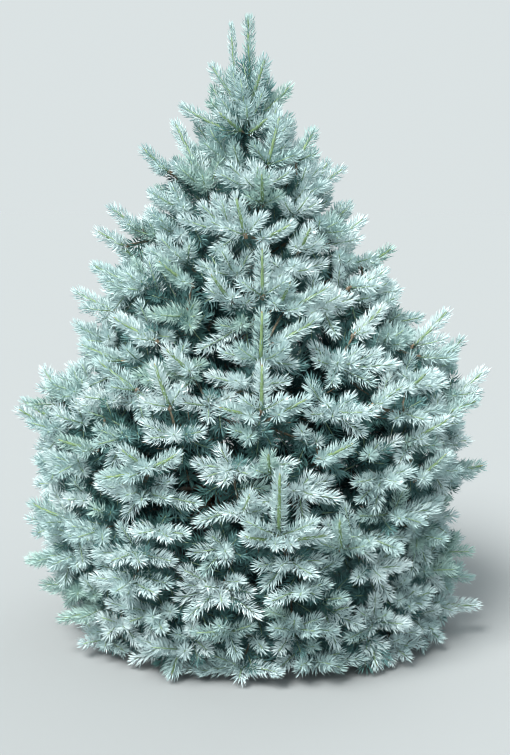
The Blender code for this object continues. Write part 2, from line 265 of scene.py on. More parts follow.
# --------------------------------------------------------------------------- meshes
def mesh_piece(name, verts, tris, materials, index=None, smooth=True):
    mesh = bpy.data.meshes.new(name)
    verts = np.ascontiguousarray(verts, np.float32)
    tris = np.ascontiguousarray(tris, np.int32)
    mesh.vertices.add(len(verts))
    mesh.vertices.foreach_set("co", verts.ravel())
    mesh.loops.add(tris.size)
    mesh.loops.foreach_set("vertex_index", tris.ravel())
    mesh.polygons.add(len(tris))
    mesh.polygons.foreach_set("loop_start", np.arange(0, tris.size, 3, dtype=np.int32))
    for material in materials:
        mesh.materials.append(material)
    if index is not None:
        mesh.polygons.foreach_set("material_index", np.asarray(index, np.int32))
    mesh.polygons.foreach_set("use_smooth", np.full(len(tris), smooth))
    mesh.update(calc_edges=True)
    made = bpy.data.objects.new(name, mesh)
    bpy.context.scene.collection.objects.link(made)
    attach(made, "root")
    return made


def frames_along(path):
    """Two unit vectors across each point of a path, turned as little as possible."""
    tangent = unit(np.gradient(path, axis=0))
    first = np.cross(tangent[0], UP)
    if np.linalg.norm(first) < 0.2:
        first = np.cross(tangent[0], (1.0, 0.0, 0.0))
    across = [unit(first)]
    for at in tangent[1:]:
        v = across[-1] - at * np.dot(across[-1], at)
        across.append(unit(v))
    across = np.array(across)
    return tangent, across, np.cross(tangent, across)


def tube(path, radii, sides, relief=None):
    """A closed round tube along a path: its points and its triangles."""
    tangent, a, b = frames_along(path)
    turn = np.arange(sides) * math.tau / sides
    rings = len(path)
    r = np.asarray(radii)[:, None] * np.ones(sides)
    if relief is not None:
        r = r + relief(path, turn, r)
    points = (path[:, None, :] + (a[:, None, :] * np.cos(turn)[None, :, None]
              + b[:, None, :] * np.sin(turn)[None, :, None]) * r[..., None])
    verts = points.reshape(-1, 3)
    i = np.arange(sides)
    j = (i + 1) % sides
    tris = []
    for k in range(rings - 1):
        low, high = k * sides, (k + 1) * sides
        tris.append(np.stack((low + i, low + j, high + j), 1))
        tris.append(np.stack((low + i, high + j, high + i), 1))
    n = len(verts)
    verts = np.concatenate((verts, path[:1], path[-1:]))
    top = (rings - 1) * sides
    tris.append(np.stack((np.full(sides, n), j, i), 1))
    tris.append(np.stack((np.full(sides, n + 1), top + i, top + j), 1))
    return verts, np.concatenate(tris)


def joined(parts):
    verts, tris, start = [], [], 0
    for v, f in parts:
        verts.append(v)
        tris.append(f + start)
        start += len(v)
    return np.concatenate(verts), np.concatenate(tris)


def bezier(c, u):
    u = np.asarray(u)[:, None]
    return ((1 - u) ** 3 * c[0] + 3 * (1 - u) ** 2 * u * c[1]
            + 3 * (1 - u) * u * u * c[2] + u ** 3 * c[3])


# --------------------------------------------------------------------- growing the tree
class Shoot:
    """One year's growth: a curve, its thickness at both ends, its age in years and
    the spray that it belongs to."""

    def __init__(self, start, end, leaving, arriving, thick, age, spray, dense=1.0, lean=1.0,
                 size=1.0, kind="side"):
        length = np.linalg.norm(end - start)
        self.curve = (start, start + unit(np.asarray(leaving, float)) * length * 0.36,
                      end - unit(np.asarray(arriving, float)) * length * 0.34, end)
        self.length = length
        self.thick = thick
        self.age = age
        self.spray = spray
        self.dense = dense
        self.lean = lean
        self.size = size
        self.kind = kind

    def at(self, u):
        return bezier(self.curve, np.array([u]))[0]


# Strong shoots that stand clear of their neighbours. Each has its tip and its foot as
# azimuth, height and distance from the trunk's line.
STANDOUTS = (
    (-176.2, 1.333, 0.084, -142.7, 1.248, 0.030), (-56.1, 1.346, 0.060, -84.0, 1.256, 0.024),
    (-3.4, 1.288, 0.088, -34.5, 1.232, 0.040), (-175.0, 1.243, 0.151, -146.4, 1.190, 0.050),
    (-63.6, 1.214, 0.145, -73.6, 1.113, 0.138), (-4.9, 1.190, 0.146, -18.2, 1.122, 0.112),
    (-174.7, 1.205, 0.170, -145.4, 1.085, 0.125), (-173.9, 1.149, 0.242, -175.6, 1.099, 0.186),
    (-126.0, 1.227, 0.113, -106.3, 1.190, 0.070), (-70.8, 1.214, 0.116, -89.5, 1.185, 0.062),
    (-83.2, 1.091, 0.227, -80.3, 1.029, 0.167), (-5.7, 1.104, 0.212, -4.6, 1.058, 0.140),
    (-174.3, 1.017, 0.320, -176.3, 0.966, 0.252), (-96.4, 1.043, 0.250, -92.2, 0.965, 0.233),
    (-5.8, 0.990, 0.261, -27.6, 0.936, 0.197), (-62.3, 0.980, 0.277, -62.8, 0.928, 0.237),
    (-70.4, 0.986, 0.257, -83.5, 0.954, 0.218), (-174.0, 0.963, 0.352, -175.6, 0.930, 0.289),
    (-174.8, 0.884, 0.362, -158.2, 0.850, 0.284), (-174.2, 0.824, 0.405, -163.1, 0.785, 0.319),
    (-139.4, 0.788, 0.381, -127.7, 0.740, 0.327), (-126.1, 0.909, 0.322, -117.2, 0.858, 0.274),
    (-103.7, 0.886, 0.326, -98.0, 0.829, 0.286), (-157.4, 0.716, 0.405, -144.1, 0.687, 0.345),
    (-139.2, 0.697, 0.422, -127.8, 0.641, 0.390), (-179.5, 0.633, 0.491, -174.8, 0.587, 0.451),
    (-115.7, 0.710, 0.441, -112.9, 0.621, 0.420), (-114.4, 0.737, 0.407, -109.2, 0.686, 0.365),
    (-86.1, 0.815, 0.383, -86.4, 0.711, 0.371), (-86.6, 0.715, 0.439, -86.6, 0.619, 0.419),
    (-97.1, 0.632, 0.452, -88.9, 0.612, 0.422), (-75.5, 0.645, 0.450, -83.1, 0.612, 0.423),
    (-173.5, 0.548, 0.545, -175.1, 0.505, 0.482), (-141.0, 0.537, 0.517, -137.0, 0.512, 0.452),
    (-120.9, 0.541, 0.502, -117.2, 0.500, 0.460), (-126.4, 0.477, 0.507, -118.1, 0.493, 0.461),
    (-107.5, 0.539, 0.485, -115.3, 0.502, 0.461), (-85.7, 0.549, 0.504, -84.6, 0.496, 0.451),
    (-68.0, 0.798, 0.374, -81.3, 0.744, 0.333), (-75.3, 0.870, 0.333, -78.5, 0.815, 0.302),
    (-60.2, 0.856, 0.329, -76.4, 0.808, 0.303), (-85.2, 0.938, 0.317, -84.8, 0.841, 0.302),
    (-39.5, 0.808, 0.371, -48.2, 0.752, 0.338), (-5.0, 0.921, 0.327, -2.7, 0.882, 0.263),
    (-18.2, 0.875, 0.321, -36.4, 0.845, 0.275), (-4.0, 0.776, 0.462, -10.7, 0.700, 0.386),
    (-2.6, 0.685, 0.485, -14.7, 0.680, 0.400), (-4.0, 0.635, 0.553, -9.2, 0.585, 0.481),
    (-19.9, 0.593, 0.537, -25.6, 0.562, 0.462), (-39.1, 0.675, 0.480, -38.0, 0.632, 0.429),
    (-48.0, 0.657, 0.474, -52.1, 0.616, 0.424), (-36.2, 0.577, 0.522, -39.5, 0.529, 0.451),
    (-36.7, 0.502, 0.524, -37.6, 0.438, 0.457), (-9.6, 0.420, 0.551, -8.5, 0.405, 0.483),
    (-64.8, 0.556, 0.487, -70.2, 0.517, 0.431), (-83.2, 0.510, 0.512, -82.4, 0.366, 0.454),
    (-90.7, 0.378, 0.494, -83.5, 0.359, 0.455), (-71.8, 0.375, 0.497, -80.9, 0.358, 0.455),
    (-69.3, 0.408, 0.514, -64.6, 0.321, 0.445), (-157.9, 0.359, 0.529, -151.2, 0.326, 0.457),
    (-89.8, 0.467, 0.501, -91.8, 0.408, 0.434), (-166.5, 0.200, 0.532, -157.1, 0.237, 0.457),
    (-152.7, 0.093, 0.482, -142.6, 0.135, 0.406), (-12.0, 0.085, 0.550, -13.6, 0.085, 0.447),
    (-48.7, 0.028, 0.425, -48.0, 0.080, 0.395), (-115.3, 0.024, 0.395, -114.5, 0.082, 0.356),
)
# The same kind of shoot on the sides and the back, scattered: how many there are, and how
# many more stand well clear of the outline.
MORE_STANDOUTS, CLEAR_STANDOUTS = 46, 24


def around(azimuth, z, radius):
    a = np.radians(azimuth)
    return np.stack((radius * np.cos(a), radius * np.sin(a), np.asarray(z, float) + 0 * a), -1)


def tip_lift(t):
    """Slope of the last shoots: they hang a little at the hem and rise steeply at the top."""
    return np.interp(t, (0.0, 0.8, 2.0, 3.0, 4.0, 5.0, 6.0, 7.0),
                     (-0.50, -0.22, 0.05, 0.25, 0.42, 0.62, 1.05, 1.7))


def standouts():
    rows = list(STANDOUTS)
    rng = np.random.default_rng(SEED + 5)
    for k in range(MORE_STANDOUTS):
        azimuth = 12.0 + 156.0 * (k + rng.uniform(0.1, 0.9)) / MORE_STANDOUTS
        t = rng.uniform(0.5, 6.4)
        z, radius = surface_of(np.array(azimuth), np.array(t))
        z, radius = float(z), float(radius)
        rise = float(tip_lift(t)) + rng.uniform(0.1, 0.9)
        length = rng.uniform(0.085, 0.125)
        run = length / math.hypot(1.0, rise)
        turn = rng.normal(0.0, 5.0)
        out = rng.uniform(0.015, 0.040) * min(1.0, radius / 0.25)
        rows.append((azimuth + turn, z + rise * run * 0.6, radius + out,
                     azimuth, z - rise * run * 0.4, max(0.03, radius + out - run)))
    return rows


def clear_standouts():
    rows = []
    rng = np.random.default_rng(SEED + 9)
    for k in range(CLEAR_STANDOUTS):
        azimuth = 2.0 + 176.0 * (k + rng.uniform(0.1, 0.9)) / CLEAR_STANDOUTS
        t = rng.uniform(0.9, 5.8)
        z, radius = surface_of(np.array(azimuth), np.array(t))
        z, radius = float(z), float(radius)
        rise = float(tip_lift(t)) + rng.uniform(0.25, 0.9)
        length = rng.uniform(0.095, 0.130)
        run = length / math.hypot(1.0, rise)
        out = rng.uniform(0.036, 0.056) * min(1.0, radius / 0.30)
        out = min(out, 0.505 / max(0.2, math.sin(math.radians(azimuth))) - radius)
        rows.append((azimuth, z + rise * run * 0.6, radius + out,
                     azimuth + rng.normal(0.0, 2.0), z - rise * run * 0.4, radius + out - run))
    return rows


def scattered_tips(clear):
    """Crown coordinates of the shoot tips, spread evenly at random over the surface, but
    not where one of the strong shoots already stands."""
    cell = 0.06
    grid, kept = {}, []
    tries = 90000
    t = RNG.uniform(0.03, 6.97, tries)
    azimuth = RNG.uniform(-180.0, 180.0, tries)
    z, radius = surface_of(azimuth, t)
    rate = radius * np.interp(t, np.arange(7) + 0.5, np.diff(EDGE_ON_CROWN))
    keep = RNG.uniform(0.0, rate.max(), tries) < rate
    points = crown_point(azimuth, t, 1.0)
    gaps = np.interp(t, *zip(*SHOOT_SPACING))
    feet, tips = clear
    for k in np.nonzero(keep)[0]:
        p = points[k]
        gap = gaps[k]
        key = tuple((p // cell).astype(int))
        near = False
        for dx in (-1, 0, 1):
            for dy in (-1, 0, 1):
                for dz in (-1, 0, 1):
                    for q in grid.get((key[0] + dx, key[1] + dy, key[2] + dz), ()):
                        if np.dot(p - q, p - q) < gap * gap:
                            near = True
                            break
        if near:
            continue
        grid.setdefault(key, []).append(p)
        way = tips - feet
        u = np.clip(((p - feet) * way).sum(1) / (way * way).sum(1), 0.25, 1.0)
        if (np.linalg.norm(feet + way * u[:, None] - p, axis=1) < 0.030).any():
            continue
        kept.append((azimuth[k], t[k]))
    return np.array(kept)


def grouped(points, count):
    """Lloyd's grouping of points into about this many groups."""
    count = max(1, min(count, len(points)))
    middles = points[RNG.choice(len(points), count, replace=False)]
    for _ in range(9):
        far = ((points[:, None] - middles[None]) ** 2).sum(-1)
        owner = far.argmin(1)
        for k in range(count):
            if (owner == k).any():
                middles[k] = points[owner == k].mean(0)
    return [np.nonzero(owner == k)[0] for k in range(count) if (owner == k).any()]


def tier_and_sector(azimuth, t):
    tier = min(int(t), len(TIERS) - 1)
    name, count, first, bare, thick = TIERS[tier]
    turned = azimuth - TWIST * (t - tier - 0.5) * (1.0 if tier % 2 else -1.0)
    return tier, int(round((turned - first) / (360.0 / count))) % count


def near_angle(azimuth, middle):
    return middle + (azimuth - middle + 180.0) % 360.0 - 180.0


SHOOTS = []
BOUGHS = []
KNOTS = []
SPRAYS = [0]
WHORLS = (1.236, 1.176, 1.120, 1.064, 1.004, 0.962)


def new_spray():
    SPRAYS[0] += 1
    return SPRAYS[0]


def side_shoots(shoot, count, length, age=0, first=0.30, size=1.0, dense=1.0):
    """Shoots from both flanks of an older one, shorter towards its tip."""
    spray = new_spray()
    for k in range(count):
        u = first + (0.93 - first) * (k + 0.5) / count
        start = shoot.at(u)
        along = unit(shoot.at(min(u + 0.08, 1.0)) - shoot.at(u - 0.08))
        flank = np.cross(along, UP)
        if np.linalg.norm(flank) < 0.25:
            turn = RNG.uniform(0, math.tau)
            flank = np.array((math.cos(turn), math.sin(turn), 0.0))
            flank = flank - along * np.dot(flank, along)
        flank = unit(flank) * (1.0 if k % 2 else -1.0)
        roll = RNG.normal(0.10, 0.45)
        above = np.cross(flank, along) * (1.0 if k % 2 else -1.0)
        flank = unit(flank * math.cos(roll) + above * math.sin(roll))
        way = unit(along * 0.70 + flank * 0.72 + UP * 0.10)
        reach = length * RNG.uniform(0.82, 1.12) * (1.12 - 0.3 * u)
        # These count as inner shoots, so their needles take darker tints as painted shade.
        SHOOTS.append(Shoot(start, start + way * reach, way + flank * 0.15, way + along * 0.25 + UP * 0.12,
                            (0.0017, 0.0010), age, spray, dense=dense, size=size, kind="inner"))


def bark_bough(tier, sector):
    """The bare inner part of a bough: its centre line, as in the part."""
    name, count, first, bare, thick = TIERS[tier]
    azimuth = first + sector * 360.0 / count
    t_here = tier + 0.5
    z, full = surface_of(np.array(azimuth), np.array(t_here))
    on_trunk = float(edge(t_here, EDGE_ON_TRUNK))
    low = on_trunk - thick
    side = float(trunk_radius(low)) + TRUNK_FLARE * math.exp((SOIL_TOP - low) / TRUNK_FLARE_H)
    a = math.radians(azimuth)
    out = np.array((math.cos(a), math.sin(a), 0.0))
    middle = trunk_axis(on_trunk)
    s_first = (side + 0.0008 + 2.2 * thick) / float(full)
    s_last = max((bare - 0.004) / float(full), s_first + 0.006 / float(full))
    path = [middle + out * (side - 0.006), middle + out * (side + thick)]
    for k in range(5):
        path.append(crown_point(azimuth, t_here, s_first + (s_last - s_first) * k / 4.0))
    path = np.array(path)
    BOUGHS.append((path, thick * (1.0 - 0.38 * np.linspace(0, 1, len(path))), f"{name}_bough_{sector + 1}"))
    return path[-1], unit(path[-1] - path[-2])


def grow_bough(tier, sector, tips):
    """One bough and all that forks from it, to the given shoot tips."""
    name, count, first, bare, thick = TIERS[tier]
    azimuth = first + sector * 360.0 / count
    t_mid = tier + 0.5
    tips = tips.copy()
    tips[:, 0] = near_angle(tips[:, 0], azimuth)
    z, full = surface_of(np.array(azimuth), np.array(t_mid))
    inside = max(bare, 0.03)
    room = float(full) - inside
    years = int(np.clip(round((room - LAST_NODE) / YEAR), 1, 4))
    surface = crown_point(tips[:, 0], tips[:, 1], 1.0)

    # The tips in small flat fans, those in larger ones, and so on down to the bough.
    levels = [None]
    fork = (len(tips) / 4.0) ** (1.0 / years)
    middles = surface * (1.0, 1.0, 2.1)
    size = len(tips) / 4.3
    for level in range(years):
        if level:
            size = size / fork
        groups = grouped(middles, max(1, int(round(size))))
        levels.append(groups)
        middles = np.array([middles[g].mean(0) for g in groups])
    below = [[np.array([k]) for k in range(len(tips))]]
    for level in range(1, years + 1):
        below.append([np.concatenate([below[level - 1][m] for m in g]) for g in levels[level]])

    # Big sprays stand out in the middle and fall back towards their neighbours.
    push = np.zeros(len(tips))
    for members in below[min(2, years)]:
        centre = surface[members].mean(0)
        far = np.linalg.norm(surface[members] - centre, axis=1)
        push[members] = RNG.normal(0.0, LUMP * 0.35) + LUMP * (0.45 - 1.5 * (far / 0.12) ** 2).clip(-1.1)
    push *= np.clip(surface_of(tips[:, 0], tips[:, 1])[1] / 0.30, 0.3, 1.0)

    # Where each node of each level stands.
    step = (room - LAST_NODE) / years
    places = []
    for level in range(1, years + 1):
        row = []
        for members in below[level]:
            az = tips[members, 0].mean()
            tt = tips[members, 1].mean()
            z, radius = surface_of(np.array(az), np.array(tt))
            radius = float(radius)
            depth = LAST_NODE + step * (level - 1) if tier < 6 else 0.50 * radius
            depth -= push[members].mean() * 0.8
            reach = max(1.0 - depth / radius, 0.18)
            closer = (reach * radius - inside) / (radius - inside)
            closer = float(np.clip(closer, 0.05, 1.0)) ** 0.34
            az = azimuth + (az - azimuth) * closer
            tt = t_mid + (tt - t_mid) * closer
            p = crown_point(az, tt, reach)
            slope = float((edge(tt, EDGE_ON_CROWN) - edge(tt, EDGE_ON_TRUNK)) / radius)
            drop = (float(tip_lift(tt)) - slope) * 0.100 * (1.0 - 0.5 ** level)
            p = p - UP * np.clip(drop, -0.02, 0.07)
            row.append(p + RNG.normal(0.0, 0.005, 3))
        places.append(np.array(row))

    # From the outermost nodes to the tips: this year's shoots.
    for members, node in zip(below[1], places[0]):
        spray = new_spray()
        ends = surface[members]
        centre = ends.mean(0)
        outwards = unit(centre - node)
        order = np.argsort(((ends - centre) ** 2).sum(1))
        for rank, k in enumerate(order):
            az, tt = tips[members[k]]
            lead = rank == 0 and len(order) > 1
            extra = RNG.normal(0.010, 0.008) if lead else RNG.normal(-0.014, 0.008)
            z, radius = surface_of(np.array(az), np.array(tt))
            extra = extra * min(1.0, float(radius) / 0.30) + push[members[k]]
            end = crown_point(az, tt, 1.0, extra)
            # Flat fans: each shoot keeps nearer to the height of its fan.
            end = end + UP * (centre[2] - end[2]) * (0.50 if tier < 6 else 0.0)
            lift = float(tip_lift(tt))
            end = end + RNG.normal(0.0, 0.003, 3)
            way = unit(end - node)
            SHOOTS.append(Shoot(
                node, end, way + outwards * (0.5 if lead else -0.1) - UP * 0.16 * lift,
                way + UP * (0.22 * lift + 0.05), (0.0023, 0.0014), 0, spray,
                lean=1.0 if lead else 0.96, kind="tip"))

    # Older wood between the levels, with side shoots that fill the crown's inside.
    for level in range(1, years):
        inner = places[level]
        for g, node in enumerate(places[level - 1]):
            parent = next(q for q, members in enumerate(levels[level + 1]) if g in members)
            start = inner[parent]
            way = unit(node - start)
            radial = unit(np.array((start[0], start[1], 0.0)))
            wood = Shoot(start, node, way + 0.35 * radial, way + UP * 0.12,
                         (0.0021 + 0.0011 * level, 0.0019 + 0.0009 * (level - 1)),
                         level, new_spray(), size=1.0 + 0.12 * (level - 1),
                         kind="upper" if tier > 4 else "side")
            SHOOTS.append(wood)
            if level == 1:
                side_shoots(wood, 3, 0.058, dense=0.62)
            elif level == 2:
                side_shoots(wood, 4, 0.080, age=1, size=1.3)
            else:
                side_shoots(wood, 4, 0.100, age=2, size=1.5)
    roots = places[years - 1]
    if bare:
        end, way = bark_bough(tier, sector)
        for node in roots:
            wood = Shoot(end, node, way + 0.3 * unit(node - end), unit(node - end) + UP * 0.05,
                         (thick * 0.60, 0.0021 + 0.0009 * years), years, new_spray(), size=1.1,
                         kind="upper" if tier > 4 else "side")
            SHOOTS.append(wood)
            if tier > 4:
                side_shoots(wood, 4, 0.060, dense=0.9)
            else:
                side_shoots(wood, 6, 0.095, age=2, size=1.5)
        return
    for node in roots:
        reach = math.hypot(node[0], node[1])
        foot = node[2] - 0.9 * reach - 0.008
        height = min(WHORLS, key=lambda h: abs(h - foot))
        start = trunk_axis(height)
        radial = unit(np.array((node[0] - start[0], node[1] - start[1], 0.0)))
        start = start + radial * float(trunk_radius(height)) * 0.6
        wood = Shoot(start, node, radial + UP * 0.25, unit(node - start) + UP * 0.2,
                     (0.0034, 0.0024), 1, new_spray(), dense=1.5, kind="upper")
        SHOOTS.append(wood)
        side_shoots(wood, 4, 0.055)


def grow_leaders():
    """The needled top of the trunk and the rival leader beside it."""
    spray = new_spray()
    for low, high in ((1.200, 1.300), (1.300, 1.380), (1.380, TREE_TOP - 0.012)):
        a, b = trunk_axis(low), trunk_axis(high)
        SHOOTS.append(Shoot(a, b, UP, UP, (0.0046, 0.0036), 0, spray, dense=1.3, lean=0.80,
                            size=0.98, kind="trunk"))
    base = trunk_axis(SECOND_LEADER_FOOT)
    start = base + np.array((-0.004, 0.0, 0.0))
    knee = base + np.array((-0.031, 0.005, 0.052))
    tip = base + np.array((-0.043, 0.008, 0.186))
    spray = new_spray()
    SHOOTS.append(Shoot(start, knee, (-1.0, 0.1, 0.5), (-0.15, 0.02, 1.0), (0.0030, 0.0026), 0,
                        spray, lean=0.72, size=0.8, kind="leader"))
    SHOOTS.append(Shoot(knee, tip, (-0.15, 0.02, 1.0), (-0.05, 0.0, 1.0), (0.0026, 0.0019), 0,
                        spray, dense=0.95, lean=0.66, size=0.76, kind="leader"))


def grow_standouts(rows):
    nodes = np.array([s.curve[0] for s in SHOOTS if s.kind == "tip"])
    for row in rows:
        tip, foot = around(*row[:3]), around(*row[3:])
        spray = new_spray()
        way = unit(tip - foot)
        if row[4] > 1.17:
            height = min(1.236, foot[2] - 0.012)
            node = trunk_axis(height)
        else:
            node = nodes[(((nodes - foot) * (1.0, 1.0, 0.8)) ** 2).sum(1).argmin()]
        if np.linalg.norm(node - foot) > 0.010:
            SHOOTS.append(Shoot(node, foot, foot - node, unit(foot - node) + way * 0.5,
                                (0.0034, 0.0030), 1, new_spray(), dense=0.8))
        SHOOTS.append(Shoot(foot, tip, way - UP * 0.08, way + UP * 0.10, (0.0046, 0.0025), 0, spray,
                            dense=1.05, lean=0.94, kind="standout"))
        if row[4] < 1.10:
            KNOTS.append((foot, way))
        # Two or three shorter ones round its foot.
        if row[4] > 1.17:
            continue
        side = unit(np.cross(way, UP if abs(way[2]) < 0.9 else (0.0, 1.0, 0.0)))
        outward = unit(np.array((foot[0], foot[1], 0.0)))
        for sign in (-1.0, 1.0):
            branch = unit(way * 0.55 + side * sign * 0.75 + outward * 0.35)
            end = foot + branch * np.linalg.norm(tip - foot) * RNG.uniform(0.52, 0.66)
            SHOOTS.append(Shoot(foot, end, branch, branch + UP * 0.15, (0.0021, 0.0013), 0, spray,
                                lean=0.96))


def fill_gaps():
    """Short shoots from the nearest wood wherever the crown would still show a hole."""
    rng = np.random.default_rng(SEED + 7)
    u = np.linspace(0.05, 1.0, 6)
    taken = np.concatenate([bezier(s.curve, u) for s in SHOOTS])
    wood = np.concatenate([bezier(s.curve, u[2:]) for s in SHOOTS if s.age and s.kind != "inner"])
    tree = kdtree.KDTree(len(wood))
    for k, q in enumerate(wood):
        tree.insert(q, k)
    tree.balance()
    full = kdtree.KDTree(len(taken))
    for k, q in enumerate(taken):
        full.insert(q, k)
    full.balance()
    # depth under the surface, clear space wanted, share of needles, their size
    for depth, clear, dense, size in ((0.030, 0.034, 0.9, 1.0), (0.070, 0.038, 0.7, 1.2),
                                      (0.115, 0.046, 0.5, 1.4), (0.160, 0.052, 0.4, 1.6)):
        tries = 9000
        t = rng.uniform(0.05, 6.6, tries)
        azimuth = rng.uniform(-180.0, 180.0, tries)
        z, radius = surface_of(azimuth, t)
        keep = rng.uniform(0.0, 0.55, tries) < radius
        points = crown_point(azimuth, t, np.clip(1.0 - depth / radius, 0.1, 1.0))
        recent = []
        room = clear * np.interp(t, (0.4, 1.8, 2.6, 3.6, 5.6, 6.2), (0.82, 0.94, 0.92, 1.02, 1.08, 0.98))
        for k in np.nonzero(keep & (radius > depth * 1.5))[0]:
            p = points[k]
            if full.find(p)[2] < room[k]:
                continue
            if any(np.dot(p - q, p - q) < (room[k] * 1.15) ** 2 for q in recent):
                continue
            outward = unit(np.array((p[0], p[1], 0.0)))
            best = None
            for least, most in ((0.20, 0.15), (-0.30, 0.19)):
                for q, index, far in tree.find_n(p, 20):
                    step = p - np.array(q)
                    if best is None and 0.028 < far < most and np.dot(step, outward) > least * far:
                        best = np.array(q)
            if best is None:
                continue
            way = unit(p - best)
            end = p + way * 0.012
            lift = float(tip_lift(t[k]))
            # The deeper ones count as inner shoots and take darker tints, as painted shade.
            SHOOTS.append(Shoot(best, end, way - UP * 0.1 * lift, way + UP * (0.2 * lift + 0.05),
                                (0.0018, 0.0011), 0, new_spray(), dense=dense, size=size,
                                kind="side" if depth < 0.05 else "inner"))
            recent += [best + (end - best) * w for w in (0.35, 0.7, 1.0)]
        more = kdtree.KDTree(len(taken) + len(recent))
        taken = np.concatenate((taken, np.array(recent).reshape(-1, 3)))
        for n, q in enumerate(taken):
            more.insert(q, n)
        more.balance()
        full = more


# Where an onlooker stands, in degrees round the tree from the front and above level.
LOOKS = ((0, 10), (0, 3), (25, 8), (45, 20), (68, 6), (90, 3), (112, 8), (135, 14), (158, 4),
         (180, 6), (202, 8), (225, 15), (248, 4), (270, 3), (292, 8), (315, 16), (338, 6))
HOLE_CELL = 0.005
HOLES_A_LOOK, HOLE_LEAST = 40, 0.25


def holes_seen(corners, place):
    """Rays from an onlooker at this place through the thin spots of the foliage."""
    forward = unit(np.array((0.0, 0.0, 0.68)) - place)
    right = unit(np.cross(forward, UP))
    above = np.cross(right, forward)
    away = np.linalg.norm(np.array((0.0, 0.0, 0.68)) - place)
    q = corners - place
    scale = away / (q @ forward)
    u, v = (q @ right) * scale, (q @ above) * scale
    area = (np.abs((u[:, 1] - u[:, 0]) * (v[:, 2] - v[:, 0]) - (u[:, 2] - u[:, 0]) * (v[:, 1] - v[:, 0]))
            + np.abs((u[:, 1] - u[:, 3]) * (v[:, 2] - v[:, 3]) - (u[:, 2] - u[:, 3]) * (v[:, 1] - v[:, 3]))) / 2.0
    wide, high = 280, 330
    covered = np.zeros(wide * high)
    for w in (0.25, 0.55, 0.85):
        x = ((u[:, 0] * (1 - w) + u[:, 3] * w) / HOLE_CELL + wide / 2).astype(int).clip(0, wide - 1)
        y = ((v[:, 0] * (1 - w) + v[:, 3] * w) / HOLE_CELL + high / 2).astype(int).clip(0, high - 1)
        covered += np.bincount(y * wide + x, weights=area / 3.0, minlength=wide * high)
    covered = covered.reshape(high, wide) / HOLE_CELL ** 2
    thin = np.exp(-covered)
    solid = covered > 0.5
    inside = np.ones_like(solid)
    margin = int(0.030 / HOLE_CELL)
    for axis in (0, 1):
        seen = np.maximum.accumulate(solid, axis)
        back = np.flip(np.maximum.accumulate(np.flip(solid, axis), axis), axis)
        inside &= np.roll(seen, margin, axis) & np.roll(back, -margin, axis)
    thin = np.where(inside, thin, 0.0)
    sums = np.cumsum(np.cumsum(np.pad(thin, ((3, 2), (3, 2))), 0), 1)
    blur = (sums[5:, 5:] - sums[:-5, 5:] - sums[5:, :-5] + sums[:-5, :-5]) / 25.0
    rays = []
    for _ in range(HOLES_A_LOOK):
        y, x = np.unravel_index(blur.argmax(), blur.shape)
        if blur[y, x] < HOLE_LEAST:
            break
        rays.append(unit(forward * away + right * ((x + 0.5 - wide / 2) * HOLE_CELL)
                         + above * ((y + 0.5 - high / 2) * HOLE_CELL)))
        blur[max(0, y - 5):y + 6, max(0, x - 5):x + 6] = 0.0
    return rays


def close_holes(rows, rng):
    """Shoots on the inner wood wherever the crown could be seen through. Gives their needles."""
    wood = np.concatenate([bezier(s.curve, np.linspace(0.25, 1.0, 5)) for s in SHOOTS if s.age])
    # High in the crown the trunk itself can carry them.
    heights = np.arange(0.86, 1.25, 0.015)
    for turn in np.arange(0.0, 360.0, 45.0):
        wood = np.concatenate((wood, around(turn, 0.0, 0.8) * trunk_radius(heights)[:, None]
                               + trunk_axis(heights)))
    tree = kdtree.KDTree(len(wood))
    for k, q in enumerate(wood):
        tree.insert(q, k)
    tree.balance()
    corners = np.concatenate(rows)
    made = []
    for azimuth, height in LOOKS:
        a, e = math.radians(azimuth), math.radians(height)
        place = np.array((math.sin(a) * math.cos(e), -math.cos(a) * math.cos(e), math.sin(e)))
        place = place * 2.62 + (0.0, 0.0, 0.66)
        new = []
        for ray in holes_seen(corners, place):
            s = np.arange(1.9, 3.3, 0.012)
            p = place + ray * s[:, None]
            turn = np.degrees(np.arctan2(p[:, 1], p[:, 0]))
            radius = crown_radius(turn, p[:, 2])
            within = radius - np.hypot(p[:, 0], p[:, 1])
            good = np.nonzero((within > 0.025) & (p[:, 2] > 0.035) & (p[:, 2] < 1.33))[0]
            best = None
            for k in good:
                want = min(0.11, 0.45 * radius[k])
                if s[k] > s[good[0]] + 0.30:
                    break
                for q, index, far in tree.find_n(p[k], 3):
                    step = p[k] - np.array(q)
                    outward = unit(np.array((p[k][0], p[k][1], 0.0)))
                    if not 0.022 < far < 0.11 or np.dot(step, outward) < -0.35 * far:
                        continue
                    cost = abs(within[k] - want) + 0.5 * far
                    if best is None or cost < best[0]:
                        best = (cost, np.array(q), p[k])
            if best is None:
                continue
            cost, foot, middle = best
            way = unit(middle - foot)
            end = middle + way * 0.014
            # As inner shoots their needles take darker tints, as painted shade.
            shoot = Shoot(foot, end, way, way + UP * 0.08, (0.0018, 0.0011), 0, new_spray(),
                          dense=0.62, size=1.25, kind="inner")
            SHOOTS.append(shoot)
            new.append(needles_on(shoot, rng))
            made.append((shoot, new[-1]))
        if new:
            corners = np.concatenate([corners] + new)
    return made


def grow():
    rows = standouts()
    clear = (np.array([around(*r[3:]) for r in rows]), np.array([around(*r[:3]) for r in rows]))
    tips = scattered_tips(clear)
    cells = {}
    for azimuth, t in tips:
        cells.setdefault(tier_and_sector(azimuth, t), []).append((azimuth, t))
    for (tier, sector), members in sorted(cells.items()):
        grow_bough(tier, sector, np.array(members))
    grow_leaders()
    grow_standouts(rows)
    grow_standouts(clear_standouts())
    fill_gaps()


